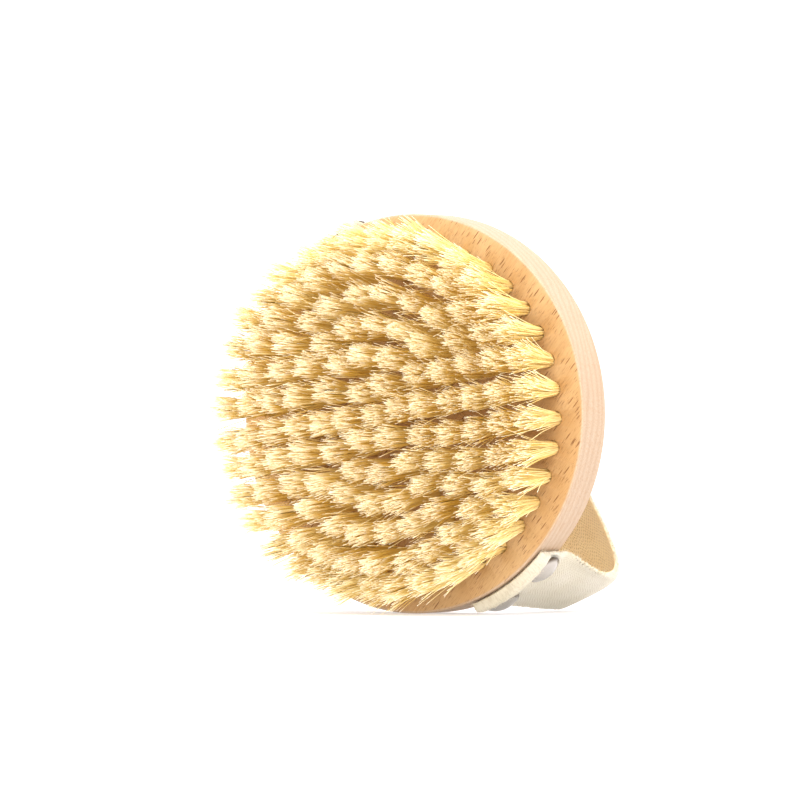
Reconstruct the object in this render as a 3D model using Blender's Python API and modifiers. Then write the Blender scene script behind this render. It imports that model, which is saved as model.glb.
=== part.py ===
"""Round body dry brush: a turned beech block, rings of bristle tufts held by small metal anchors,
and a cotton hand strap nailed to the rim. It stands on its rim, bristles towards -Y."""
import math

import bmesh
import bpy
from mathutils import Matrix, Vector

# All sizes are in metres.
FIT_GAP = 0.0003  # clearance between two pieces that touch

# Wooden block
BLOCK_DIAMETER = 0.120
BLOCK_THICKNESS = 0.015
BACK_EDGE_RADIUS = 0.003
FRONT_ARRIS = 0.0005
RIM_SIDES = 72

# Tufts: one in the middle, then rings of 6, 12, 18 ... tufts on six straight spokes
RING_COUNT = 6
TUFTS_PER_RING_STEP = 6
OUTER_RING_TO_RIM = 0.0097
PATTERN_TURN = math.radians(8.4)
HOLE_DIAMETER = 0.0045
HOLE_DEPTH = 0.0105
BRISTLE_LENGTH = 0.026  # from the front face to the tips
TIP_SPREAD = 1.07  # tip ring diameter over root ring diameter
TIP_RING_GAP = 0.0006  # between the tips of two neighbouring rings
TIP_OVERLAP = 0.0004  # neighbours in one ring mingle at their tips
TUFT_SIDES = 8

# Anchors: a short flat wire across the fold of each tuft
ANCHOR_HEIGHT = 0.0018
ANCHOR_THICKNESS = 0.0005
ANCHOR_FROM_FLOOR = 0.0012
ANCHORED_RINGS = 1  # anchors are separate pieces in the middle tuft and in this many rings

# Cotton strap, nailed to the rim at both ends
STRAP_WIDTH = 0.028
STRAP_THICKNESS = 0.0016
STRAP_ANGLE = math.radians(-56.0)  # where its lower end sits on the rim, from +X
STRAP_END_INSET = 0.0009  # from the front face to the strap's cut end
LOOP_HEIGHT = 0.0386  # clear height between the block's back and the strap's lower edge
LOOP_DROP = 0.0058  # how much lower the strap's upper edge hangs over the back
LOOP_BULGE = 0.0034  # how far the lower leg stands out past the rim
LOOP_TWIST = 0.0028  # extra bulge at the lower leg's upper edge, and as much less at the other
UPPER_BULGE = 0.0006  # the upper leg's bulge: it stays below the rim's top
LOOP_SHOULDER = 0.005  # from the loop's widest point to its top, at the strap's lower edge
SHOULDER_SWELL = 0.0115  # how much longer the shoulder is at the strap's upper edge
LOOP_SQUARENESS = 3.0  # exponent of the shoulder's superellipse: 2 is an ellipse
SHOULDER_SPLIT = 0.5  # where a leg ends and the bridge begins, along the shoulder

# Dome-headed nails, two at each end of the strap
NAIL_HEAD_DIAMETER = 0.011
NAIL_HEAD_HEIGHT = 0.0026
NAIL_HEAD_LIP = 0.0005
NAIL_SHANK_DIAMETER = 0.0016
NAIL_POINT_LENGTH = 0.002
NAIL_SPACING = 0.0169  # measured round the rim
NAIL_WALL = 0.0006  # wood left between a nail's hole and the nearest tuft's
NAIL_SIDES = 24

BLOCK_RADIUS = BLOCK_DIAMETER / 2
RING_STEP = (BLOCK_RADIUS - OUTER_RING_TO_RIM) / RING_COUNT
TUFT_ROOT_RADIUS = HOLE_DIAMETER / 2 - FIT_GAP
STRAP_INNER_RADIUS = BLOCK_RADIUS + FIT_GAP
NAIL_SEAT_RADIUS = STRAP_INNER_RADIUS + STRAP_THICKNESS + FIT_GAP
NAIL_HOLE_DEPTH = OUTER_RING_TO_RIM - HOLE_DIAMETER / 2 - NAIL_WALL
NAIL_PLANE = -BLOCK_THICKNESS / 2
OVERCUT = 0.001  # how far a cutter runs past the face that it opens

PARTS = "body_dry_brush"
CUTTERS = "cutters"


def clear_scene():
    for obj in list(bpy.data.objects):
        bpy.data.objects.remove(obj)


def collection(name):
    made = bpy.data.collections.new(name)
    bpy.context.scene.collection.children.link(made)
    return made


def finish(name, colour, roughness, metallic=0.0):
    mat = bpy.data.materials.new(name)
    mat.use_nodes = True
    shader = mat.node_tree.nodes["Principled BSDF"]
    shader.inputs["Base Color"].default_value = (*colour, 1.0)
    shader.inputs["Roughness"].default_value = roughness
    shader.inputs["Metallic"].default_value = metallic
    mat.diffuse_color = (*colour, 1.0)
    return mat


def add_object(name, mesh, group, parent):
    obj = bpy.data.objects.new(name, mesh)
    group.objects.link(obj)
    obj.parent = parent
    return obj


def mesh_from(name, bm):
    bm.normal_update()
    mesh = bpy.data.meshes.new(name)
    bm.to_mesh(mesh)
    bm.free()
    return mesh


def add_screw(obj, sides):
    screw = obj.modifiers.new("turn", "SCREW")
    screw.axis = "Z"
    screw.steps = screw.render_steps = sides
    screw.use_merge_vertices = True
    screw.merge_threshold = 0.00001


def add_cut(obj, cutter, self_union=False):
    cut = obj.modifiers.new("cut", "BOOLEAN")
    cut.operation = "DIFFERENCE"
    cut.object = cutter
    cut.solver = "EXACT"
    cut.use_self = self_union


def hide_cutter(obj):
    obj.hide_render = True
    obj.display_type = "WIRE"


def smooth(obj, degrees=35):
    for face in obj.data.polygons:
        face.use_smooth = True
    obj.data.set_sharp_from_angle(angle=math.radians(degrees))


def arc(centre, radius, start, end, steps):
    """Points on a circle arc in the profile plane, from one angle in degrees to another."""
    points = []
    for i in range(steps + 1):
        angle = math.radians(start + (end - start) * i / steps)
        points.append((centre[0] + radius * math.cos(angle), centre[1] + radius * math.sin(angle)))
    return points


def turned(name, profile, sides, group, parent):
    """A solid of revolution about its own Z, from a profile of (radius, height), top to bottom."""
    bm = bmesh.new()
    ring = [bm.verts.new((r, 0, z)) for r, z in profile]
    for upper, lower in zip(ring, ring[1:]):
        bm.edges.new((upper, lower))
    obj = add_object(name, mesh_from(name, bm), group, parent)
    add_screw(obj, sides)
    return obj


def polar(radius, angle, z=0.0):
    return Vector((radius * math.cos(angle), radius * math.sin(angle), z))


def ring_angles(ring):
    """The directions of a ring's tufts; the middle tuft is ring 0."""
    count = max(1, ring * TUFTS_PER_RING_STEP)
    return [PATTERN_TURN + 2 * math.pi * i / count for i in range(count)]


def nail_places():
    """(name, direction) of each nail: two by each end of the strap."""
    half = NAIL_SPACING / 2 / BLOCK_RADIUS
    places = []
    for end, base in (("lower", STRAP_ANGLE), ("upper", STRAP_ANGLE + math.pi)):
        places.append((f"nail_{end}_1", base + half))
        places.append((f"nail_{end}_2", base - half))
    return places


def frame_empty():
    """The brush is built lying on its back, +Z towards the bristles; this stands it on its rim."""
    back_reach = BLOCK_THICKNESS + LOOP_HEIGHT + STRAP_THICKNESS
    rim_low_point = BLOCK_RADIUS * math.cos(math.pi / RIM_SIDES)
    empty = bpy.data.objects.new("brush_frame", None)
    bpy.context.scene.collection.objects.link(empty)
    empty.location = (0, (BRISTLE_LENGTH - back_reach) / 2, rim_low_point)
    empty.rotation_euler = (math.pi / 2, 0, 0)
    return empty


def tuft_holes(group, parent):
    bm = bmesh.new()
    for ring in range(RING_COUNT + 1):
        for angle in ring_angles(ring):
            place = polar(ring * RING_STEP, angle, (OVERCUT - HOLE_DEPTH) / 2)
            turn = Matrix.Rotation(angle, 4, "Z")
            bmesh.ops.create_cone(
                bm, cap_ends=True, segments=TUFT_SIDES, radius1=HOLE_DIAMETER / 2,
                radius2=HOLE_DIAMETER / 2, depth=HOLE_DEPTH + OVERCUT,
                matrix=Matrix.Translation(place) @ turn,
            )
    obj = add_object("tuft_holes", mesh_from("tuft_holes", bm), group, parent)
    hide_cutter(obj)
    return obj


def nail_holes(group, parent):
    """One radial cutter for each nail: through the strap and into the rim."""
    radius = NAIL_SHANK_DIAMETER / 2 + FIT_GAP
    outer = NAIL_SEAT_RADIUS + OVERCUT
    inner = BLOCK_RADIUS - NAIL_HOLE_DEPTH
    bm = bmesh.new()
    for _, angle in nail_places():
        place = polar((outer + inner) / 2, angle, NAIL_PLANE)
        turn = Matrix.Rotation(angle, 4, "Z") @ Matrix.Rotation(math.pi / 2, 4, "Y")
        bmesh.ops.create_cone(
            bm, cap_ends=True, segments=TUFT_SIDES, radius1=radius, radius2=radius,
            depth=outer - inner, matrix=Matrix.Translation(place) @ turn,
        )
    obj = add_object("nail_holes", mesh_from("nail_holes", bm), group, parent)
    hide_cutter(obj)
    return obj


def wood_block(group, parent, tuft_cutter, nail_cutter):
    back = -BLOCK_THICKNESS
    rim = [(0, 0), (BLOCK_RADIUS - FRONT_ARRIS, 0), (BLOCK_RADIUS, -FRONT_ARRIS)]
    corner = (BLOCK_RADIUS - BACK_EDGE_RADIUS, back + BACK_EDGE_RADIUS)
    rim += arc(corner, BACK_EDGE_RADIUS, 0, -90, 5) + [(0, back)]
    block = turned("wood_block", rim, RIM_SIDES, group, parent)
    block.rotation_euler = (0, 0, math.pi / RIM_SIDES)  # a flat between two rim edges faces down
    add_cut(block, tuft_cutter)
    add_cut(block, nail_cutter)
    block.data.materials.append(finish("beech_wood", (0.80, 0.52, 0.29), 0.55))
    smooth(block)


def tuft_tip_radii(ring):
    """Half widths of a tuft's tip, out from the middle and along its ring."""
    tip_step = RING_STEP * TIP_SPREAD
    out = (tip_step - TIP_RING_GAP) / 2
    if ring == 0:
        return out, out
    chord = 2 * ring * tip_step * math.sin(math.pi / (ring * TUFTS_PER_RING_STEP))
    return out, (chord + TIP_OVERLAP) / 2


def add_tuft(bm, ring, angle):
    """A round root in its hole that flares into an oval tip, leaning slightly outwards."""
    tip_out, tip_along = tuft_tip_radii(ring)
    corner_scale = 1 / math.cos(math.pi / TUFT_SIDES)
    root_end = FIT_GAP - HOLE_DEPTH
    turned_half_side = Matrix.Rotation(math.pi / TUFT_SIDES, 4, "Z")
    made = bmesh.ops.create_cone(
        bm, cap_ends=True, segments=TUFT_SIDES, radius1=TUFT_ROOT_RADIUS, radius2=1.0,
        depth=BRISTLE_LENGTH, matrix=Matrix.Translation((0, 0, BRISTLE_LENGTH / 2)) @ turned_half_side,
    )["verts"]
    lean = ring * RING_STEP * (TIP_SPREAD - 1)
    for vert in made:
        if vert.co.z > BRISTLE_LENGTH / 2:
            vert.co.x = vert.co.x * tip_out * corner_scale + lean
            vert.co.y = vert.co.y * tip_along * corner_scale
    low = {vert for vert in made if vert.co.z < BRISTLE_LENGTH / 2}
    floor = next(face for face in bm.faces if low == set(face.verts))
    root = bmesh.ops.extrude_face_region(bm, geom=[floor])["geom"]
    root_verts = [g for g in root if isinstance(g, bmesh.types.BMVert)]
    bmesh.ops.delete(bm, geom=[floor], context="FACES_ONLY")
    bmesh.ops.translate(bm, verts=root_verts, vec=(0, 0, root_end))
    place = Matrix.Rotation(angle, 4, "Z") @ Matrix.Translation((ring * RING_STEP, 0, 0))
    bmesh.ops.transform(bm, matrix=place, verts=made + root_verts)


def anchor_matrix(ring, angle):
    z = ANCHOR_FROM_FLOOR + ANCHOR_HEIGHT / 2 - HOLE_DEPTH
    return Matrix.Rotation(angle, 4, "Z") @ Matrix.Translation((ring * RING_STEP, 0, z))


def add_box(bm, size, matrix):
    bmesh.ops.create_cube(bm, size=1.0, matrix=matrix @ Matrix.Diagonal((*size, 1.0)))


def tuft_ring(ring, group, cutters, parent, bristle):
    """All the tufts of one ring, joined where their tips mingle, slotted for their anchors."""
    name = f"tuft_ring_{ring}" if ring else "tuft_middle"
    bm = bmesh.new()
    slots = bmesh.new()
    slot_size = (HOLE_DIAMETER + OVERCUT, ANCHOR_THICKNESS + 2 * FIT_GAP, ANCHOR_HEIGHT + 2 * FIT_GAP)
    for angle in ring_angles(ring):
        add_tuft(bm, ring, angle)
        add_box(slots, slot_size, anchor_matrix(ring, angle))
    slot_cutter = add_object(f"{name}_slots", mesh_from(f"{name}_slots", slots), cutters, parent)
    hide_cutter(slot_cutter)
    obj = add_object(name, mesh_from(name, bm), group, parent)
    add_cut(obj, slot_cutter, self_union=True)
    obj.data.materials.append(bristle)
    smooth(obj)


def tuft_anchor(name, ring, angle, group, parent, steel):
    bm = bmesh.new()
    length = HOLE_DIAMETER - 2 * FIT_GAP
    add_box(bm, (length, ANCHOR_THICKNESS, ANCHOR_HEIGHT), Matrix.Identity(4))
    obj = add_object(name, mesh_from(name, bm), group, parent)
    obj.matrix_local = anchor_matrix(ring, angle)
    obj.data.materials.append(steel)


def blend(a, b, share):
    return a + (b - a) * share


def ease(share):
    return share * share * (3 - 2 * share)


def strap_station(along, across):
    """A point on the strap's inner face. along is 0 at the lower end, 1 where it leaves the rim,
    2 at the loop's widest point, 3 at its top, and on to 6 at the upper end; across runs from
    -1 to 1 over its width."""
    side = 1 if along <= 3 else -1
    step = along if along <= 3 else 6 - along
    width = across * STRAP_WIDTH / 2
    upper = (1 + across) / 2  # 0 at the strap's lower edge, 1 at its upper edge
    top = -BLOCK_THICKNESS - LOOP_HEIGHT + LOOP_DROP * upper**3
    shoulder = LOOP_SHOULDER + SHOULDER_SWELL * upper**6
    widest = STRAP_INNER_RADIUS + (LOOP_BULGE + LOOP_TWIST * across if side > 0 else UPPER_BULGE)
    wrap = 1.0  # 1 hugs the round rim, 0 is flat
    reach = STRAP_INNER_RADIUS
    if step <= 1:
        z = blend(-STRAP_END_INSET, -BLOCK_THICKNESS, step)
    elif step <= 2:
        z = blend(-BLOCK_THICKNESS, top + shoulder, step - 1)
        wrap = 1 - ease(step - 1)
        reach = blend(reach, widest, ease(step - 1))
    else:
        q = step - 2
        wrap = 0.0
        turn = math.pi / 2 * q**1.5 / (q**1.5 + (1 - q) ** 1.5)
        power = 2 / LOOP_SQUARENESS
        reach = widest * max(math.cos(turn), 0.0) ** power
        z = top + shoulder * (1 - math.sin(turn) ** power)
    bend = width / STRAP_INNER_RADIUS
    drop = wrap * STRAP_INNER_RADIUS * (1 - math.cos(bend))
    sideways = blend(width, STRAP_INNER_RADIUS * math.sin(bend), wrap)
    outward = polar(side * (reach - drop), STRAP_ANGLE)
    return outward + polar(sideways, STRAP_ANGLE + math.pi / 2, z)


def strap_piece(name, start, end, rows, columns, group, parent, cotton, nail_cutter=None):
    """One stretch of the strap: a grid on its inner face, thickened outwards."""
    bm = bmesh.new()
    grid = []
    for i in range(rows + 1):
        along = blend(start, end, i / rows)
        row = [bm.verts.new(strap_station(along, 2 * j / columns - 1)) for j in range(columns + 1)]
        grid.append(row)
    for near, far in zip(grid, grid[1:]):
        for j in range(columns):
            bm.faces.new((near[j], far[j], far[j + 1], near[j + 1]))
    obj = add_object(name, mesh_from(name, bm), group, parent)
    solid = obj.modifiers.new("thickness", "SOLIDIFY")
    solid.thickness = STRAP_THICKNESS
    solid.offset = 1.0
    if nail_cutter:
        add_cut(obj, nail_cutter)
    obj.data.materials.append(cotton)
    smooth(obj, 60)


def strap(group, parent, nail_cutter):
    """The strap is one band of webbing: nailed ends, legs that fold, and the bridge over the hand."""
    cotton = finish("cotton_webbing", (0.86, 0.80, 0.68), 0.9)
    rim_gap = FIT_GAP / (BLOCK_THICKNESS - STRAP_END_INSET)
    split = 2 + SHOULDER_SPLIT
    split_gap = FIT_GAP / (LOOP_SHOULDER + SHOULDER_SWELL)
    strap_piece("strap_end_lower", 0, 1, 4, 8, group, parent, cotton, nail_cutter)
    strap_piece("strap_leg_lower", 1 + rim_gap, split - split_gap, 14, 8, group, parent, cotton)
    strap_piece("strap_bridge", split, 6 - split, 16, 8, group, parent, cotton)
    strap_piece("strap_leg_upper", 6 - split + split_gap, 5 - rim_gap, 14, 8, group, parent, cotton)
    strap_piece("strap_end_upper", 5, 6, 4, 8, group, parent, cotton, nail_cutter)


def nail(name, angle, group, parent, nickel):
    """A domed head with a thin lip, on a round shank with a drawn point; its +Z points outwards."""
    head = NAIL_HEAD_DIAMETER / 2
    dome = NAIL_HEAD_HEIGHT - NAIL_HEAD_LIP
    ball = (head * head + dome * dome) / (2 * dome)
    edge = math.degrees(math.asin(head / ball))
    profile = arc((0, NAIL_HEAD_HEIGHT - ball), ball, 90, 90 - edge, 6)
    shank = NAIL_SHANK_DIAMETER / 2
    point = BLOCK_RADIUS - NAIL_HOLE_DEPTH + FIT_GAP - NAIL_SEAT_RADIUS
    profile += [(head, 0), (shank, 0), (shank, point + NAIL_POINT_LENGTH), (0, point)]
    profile[0] = (0, NAIL_HEAD_HEIGHT)
    obj = turned(name, profile, NAIL_SIDES, group, parent)
    obj.location = polar(NAIL_SEAT_RADIUS, angle, NAIL_PLANE)
    obj.rotation_euler = (0, math.pi / 2, angle)
    obj.data.materials.append(nickel)
    smooth(obj)


def build():
    clear_scene()
    parts = collection(PARTS)
    cutters = collection(CUTTERS)
    frame = frame_empty()
    nail_cutter = nail_holes(cutters, frame)
    wood_block(parts, frame, tuft_holes(cutters, frame), nail_cutter)
    bristle = finish("natural_bristle", (0.78, 0.60, 0.30), 0.7)
    for ring in range(RING_COUNT + 1):
        tuft_ring(ring, parts, cutters, frame, bristle)
    steel = finish("anchor_steel", (0.6, 0.6, 0.58), 0.35, 1.0)
    for ring in range(ANCHORED_RINGS + 1):
        for i, angle in enumerate(ring_angles(ring)):
            name = f"anchor_ring_{ring}_{i + 1}" if ring else "anchor_middle"
            tuft_anchor(name, ring, angle, parts, frame, steel)
    strap(parts, frame, nail_cutter)
    nickel = finish("nickel_plate", (0.72, 0.70, 0.67), 0.25, 1.0)
    for name, angle in nail_places():
        nail(name, angle, parts, frame, nickel)


build()
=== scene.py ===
# %% [markdown]
# # A round body brush, piece by piece
# The brush is a turned beech block with 127 tufts of natural bristle in front and a cotton hand
# strap nailed over its back. It stands on its rim, bristles towards -Y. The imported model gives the
# true place and size of every part, so it is loaded first and nothing in it is ever moved.

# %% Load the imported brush
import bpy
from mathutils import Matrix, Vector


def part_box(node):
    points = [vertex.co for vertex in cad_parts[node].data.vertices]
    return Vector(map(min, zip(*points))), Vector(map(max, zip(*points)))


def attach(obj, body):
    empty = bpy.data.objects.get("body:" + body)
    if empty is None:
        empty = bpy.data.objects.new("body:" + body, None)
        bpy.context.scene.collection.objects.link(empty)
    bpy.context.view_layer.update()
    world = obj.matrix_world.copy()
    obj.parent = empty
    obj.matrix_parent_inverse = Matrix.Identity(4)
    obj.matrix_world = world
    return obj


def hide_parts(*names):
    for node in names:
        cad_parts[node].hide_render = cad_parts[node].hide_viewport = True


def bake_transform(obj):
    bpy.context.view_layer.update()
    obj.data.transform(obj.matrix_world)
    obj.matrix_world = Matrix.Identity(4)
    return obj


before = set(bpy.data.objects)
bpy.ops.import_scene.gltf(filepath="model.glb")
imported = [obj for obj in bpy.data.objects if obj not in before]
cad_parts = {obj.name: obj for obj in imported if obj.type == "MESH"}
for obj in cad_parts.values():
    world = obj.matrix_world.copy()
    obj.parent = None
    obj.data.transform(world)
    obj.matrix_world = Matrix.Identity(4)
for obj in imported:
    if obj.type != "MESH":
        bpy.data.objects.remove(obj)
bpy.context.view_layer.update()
print("parts in the packed brush:", len(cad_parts))

# %% [markdown]
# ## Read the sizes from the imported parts
# A maker measures before cutting. The block's box gives its face, its back, its centre and its
# radius, and the tufts' box gives the bristle length. The rest is the brush maker's own drawing:
# the pitch of the tuft rings, the bore of the holes, and the cut of the strap.

# %% Measure the block and the bristle
import math

import bmesh
import bpy
import numpy as np
from mathutils import Matrix, Vector

block_low, block_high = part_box("wood_block")
tuft_low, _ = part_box("tuft_middle")
FACE_Y = block_low.y
BACK_Y = block_high.y
AXIS_Z = (block_low.z + block_high.z) / 2
BLOCK_RADIUS = (block_high.z - block_low.z) / 2
BRISTLE_LENGTH = FACE_Y - tuft_low.y
print(f"block {2000 * BLOCK_RADIUS:.1f} mm across, bristle {1000 * BRISTLE_LENGTH:.1f} mm long")

# %% [markdown]
# ## The brush maker's drawing
# A drilling jig sets the tufts out: one in the middle, then rings of 6, 12, 18 and so on. The whole
# pattern is turned a little, because the maker doesn't line it up with the grain. The strap crosses
# the back at a slant, and two nails hold each of its ends. The places could be typed in one by
# one, but these few numbers give all of them, and stay true when one is changed.

# %% Say where the tufts and nails go
TURNED_RADIUS = 0.060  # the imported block's flat sides lie just inside it
RING_COUNT = 6
OUTER_RING_TO_RIM = 0.0097
RING_STEP = (TURNED_RADIUS - OUTER_RING_TO_RIM) / RING_COUNT
TUFTS_PER_RING_STEP = 6
PATTERN_TURN = math.radians(8.4)
HOLE_RADIUS = 0.00225
HOLE_DEPTH = 0.0105
STRAP_ANGLE = math.radians(-56)
NAIL_SPACING = 0.0169
NAIL_SPREAD = NAIL_SPACING / 2 / TURNED_RADIUS  # half the angle between the two nails of one end
NAIL_SEAT_RADIUS = 0.0622
NAIL_DEPTH = 0.0075  # behind the front face
NAIL_HOLE_DEPTH = OUTER_RING_TO_RIM - HOLE_RADIUS - 0.0006


def ring_angles(ring):
    count = max(1, ring * TUFTS_PER_RING_STEP)
    return [PATTERN_TURN + 2 * math.pi * i / count for i in range(count)]


tuft_count = sum(len(ring_angles(ring)) for ring in range(RING_COUNT + 1))
print("tufts:", tuft_count)

# %% [markdown]
# ## Work as if the brush lay on its back
# On the bench the block lies flat: x to the right, y up the face, z out of the face towards the
# bristle tips. All pieces are made in those bench directions, and one small function stands them
# up, which keeps every formula simple. Each piece could be turned as an object instead, but then
# its finish would read places in a turned frame.

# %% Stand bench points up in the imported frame
def stand(points):
    """Bench points, an array of x, y, z rows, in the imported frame."""
    return np.stack([points[..., 0], FACE_Y - points[..., 2], AXIS_Z + points[..., 1]], axis=-1)


def polar(radius, angle, z=0.0):
    return Vector((radius * math.cos(angle), radius * math.sin(angle), z))


print("the middle of the face stands at", stand(np.zeros(3)).round(4).tolist())

# %% [markdown]
# ## Write shader maths like sums
# A finish is a little sum over the surface: how far along the grain, how deep in the growth rings.
# Placing a node for each plus and times by hand is slow to write and slow to read. So one small
# class wraps a socket, and Python's own operators add the Math nodes. Colours are mixed, not
# added, because a Math node would turn them grey.

# %% A class that lets sockets be added and multiplied
class Signal:
    """What one socket gives. Sums on signals add Math nodes to the same material."""

    def __init__(self, socket):
        self.socket = socket

    def node(self, kind, settings=None, inputs=None, out=0):
        tree = self.socket.id_data
        made = tree.nodes.new("ShaderNode" + kind)
        for name, value in (settings or {}).items():
            setattr(made, name, value)
        for name, value in (inputs or {}).items():
            if isinstance(value, Signal):
                tree.links.new(value.socket, made.inputs[name])
            else:
                made.inputs[name].default_value = value
        return Signal(made.outputs[out])

    def math(self, operation, *values):
        return self.node("Math", {"operation": operation}, dict(enumerate(values)))

    def __add__(self, other):
        return self.math("ADD", self, other)

    def __sub__(self, other):
        return self.math("SUBTRACT", self, other)

    def __rsub__(self, other):
        return self.math("SUBTRACT", other, self)

    def __mul__(self, other):
        return self.math("MULTIPLY", self, other)

    def __truediv__(self, other):
        return self.math("DIVIDE", self, other)

    def __pow__(self, other):
        return self.math("POWER", self, other)

    __radd__ = __add__
    __rmul__ = __mul__

    def clamped(self):
        return self.node("Clamp", None, {0: self})

    def wave(self):
        """A sine that runs from 0 to 1 and back each time this grows by 1."""
        turned = self * (2 * math.pi)
        return turned.math("SINE", turned) * 0.5 + 0.5

    def between(self, low, high):
        """0 below low, 1 above high, and a soft step in between."""
        settings = {"interpolation_type": "SMOOTHSTEP"}
        return self.node("MapRange", settings, {0: self, 1: low, 2: high})

    def tint(self, first, second):
        """The first colour where this is 0 and the second where it is 1."""
        settings = {"data_type": "RGBA", "clamp_factor": True}
        return self.node("Mix", settings, {0: self, 6: first, 7: second}, out=2)

    def along(self, direction):
        """How far a place lies in a direction, from the signal of places."""
        return self.node("VectorMath", {"operation": "DOT_PRODUCT"}, {0: self, 1: direction}, out="Value")


print("shader sums are ready")

# %% [markdown]
# ## What a finish can read
# A finish may read two things: the place on the object, in metres, so that its grain runs through
# the solid, and a value that the mesh carries on its points, so that it follows a bristle or the
# webbing. Pictures could be wrapped on instead, but they blur close up and stretch at the edges.

# %% Start a finish, and read places and stored values from it
def rgb(red, green, blue):
    """A colour given from 0 to 255, turned into the linear light that shaders use."""
    shares = [c / 255 for c in (red, green, blue)]
    linear = [s / 12.92 if s < 0.04 else ((s + 0.055) / 1.055) ** 2.4 for s in shares]
    return (*linear, 1.0)


def new_finish(name, **constants):
    """A material, its shader's inputs, and the signal of places on the object, in metres."""
    made = bpy.data.materials.new(name)
    made.use_nodes = True
    shader = made.node_tree.nodes["Principled BSDF"]
    for label, value in constants.items():
        shader.inputs[label.replace("_", " ")].default_value = value
    places = made.node_tree.nodes.new("ShaderNodeTexCoord").outputs["Object"]
    return made, shader, Signal(places)


def stored(signal, name):
    """A value that the mesh carries on its points."""
    return signal.node("Attribute", {"attribute_name": name}, out="Fac")


def noise(signal, place, scale, detail=2.0):
    return signal.node("TexNoise", None, {"Vector": place, "Scale": scale, "Detail": detail})


def stretched(signal, x, y, z):
    """Places scaled by a different amount along each axis."""
    return signal.node("Mapping", None, {"Vector": signal, "Scale": (x, y, z)})


def joined(x, y, z):
    """Three values as one place."""
    return x.node("CombineXYZ", None, {0: x, 1: y, 2: z})


def feed(shader, label, signal):
    shader.id_data.links.new(signal.socket, shader.inputs[label])


def bump(signal, distance, strength=1.0):
    return signal.node("Bump", None, {"Height": signal, "Distance": distance, "Strength": strength})


print("finishes can be started")

# %% [markdown]
# ## Beech
# The block is one solid piece of steamed beech. Growth rings run through its whole thickness,
# nearly parallel to the face, so the face shows wide soft figure and the rim shows fine layers.
# The short dark flecks are rays: thin leaves of wood that run outwards through the tree, seen
# end-on as little lens shapes, always pointing along the grain. Because they are leaves inside
# solid wood, they are made in the wood's own three directions and not painted on a side.

# %% The three directions of the wood
ring_normal = Vector((0.221, 1.0, -0.098)).normalized()
grain = Vector((math.cos(math.radians(50)), 0.0, math.sin(math.radians(50))))
grain = (grain - ring_normal * grain.dot(ring_normal)).normalized()
cross_grain = ring_normal.cross(grain)
print("grain runs along", tuple(round(v, 2) for v in grain))

# %% [markdown]
# ## Rings, fibres and rays as signals
# Late wood makes a soft wave through the depth, bent by slow noise. Fibres and pores are noise that
# is stretched along the grain. A ray runs far through the depth of the wood, so its pattern is a
# flat one, across the other two directions. Each cell of it holds one lens, or none, by luck.
# Lenses could be placed one by one as geometry, but there are thousands of them.

# %% The beech finish
beech, beech_shader, place = new_finish("beech_oiled", Specular_IOR_Level=0.22)
run = place.along(grain)
depth = place.along(ring_normal)
side = place.along(cross_grain)
wander = noise(place, joined(run * 14.0, side * 30.0, depth * 60.0), 1.0, 3.0)
GROWTH_STEP = 0.0027
late_wood = (depth / GROWTH_STEP + wander * 3.6).wave() ** 1.5
fibre = noise(place, joined(run * 110.0, side * 3200.0, depth * 3200.0), 1.0, 2.0)
pores = noise(place, joined(run * 420.0, side * 5200.0, depth * 5200.0), 1.0, 1.0)
broad = noise(place, joined(run * 18.0, side * 60.0, depth * 160.0), 1.0, 2.0)


def rays(length, width, density, widest):
    """Lens-shaped marks along the grain, some long, some short, in about a share of their cells."""
    cell = joined(run / length, side / width, 0.0)
    found = place.node("TexVoronoi", {"voronoi_dimensions": "2D"}, {"Vector": cell, "Scale": 1.0})
    colour = Signal(found.socket.node.outputs["Color"])
    luck = colour.node("SeparateColor", None, {0: colour})
    reach = (luck - (1 - density)) / density * widest
    return (reach - found).between(0.0, 0.09)


big_rays = rays(0.0086, 0.00082, 0.80, 0.24)
small_rays = rays(0.0052, 0.00052, 0.65, 0.20)
print("beech: growth rings every 2.7 mm, rays up to 4 mm long")

# %% [markdown]
# ## The wood's colours
# The face is cut along the rings and looks warm and orange: partly its own colour, partly painted
# warm light that the bristles throw back onto it. The rim is partly end grain and less orange, with
# soft bands, and hardly any rays show on it; its paler colour is also partly painted brighter light.
# The rounded edges get a lighter band, a painted highlight. Fine fibre lines, small pores and the
# rays are laid over both, and the same signals go through a bump, so the oiled wood glints
# unevenly as real wood does. One plain colour would be simpler, but it would look like paint.

# %% Colour, gloss and pores of the beech
out_x = place.along((1.0, 0.0, 0.0))
out_z = place.along((0.0, 0.0, 1.0)) - AXIS_Z
from_axis = (out_x * out_x + out_z * out_z) ** 0.5
rim = from_axis.between(BLOCK_RADIUS - 0.0009, BLOCK_RADIUS - 0.0003)
# Painted light: the face colours carry warm bounce light from the bristles, the rim colour paler light;
# both are partly the wood's own colour.
face_light = late_wood.tint(rgb(197, 159, 112), rgb(190, 150, 102))
face_colour = broad.between(0.35, 0.7).tint(face_light, rgb(200, 164, 118))
rim_soft = (late_wood * 0.45 + broad * 0.45).clamped()
rim_colour = rim_soft.tint(rgb(184, 162, 138), rgb(168, 142, 116))
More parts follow.
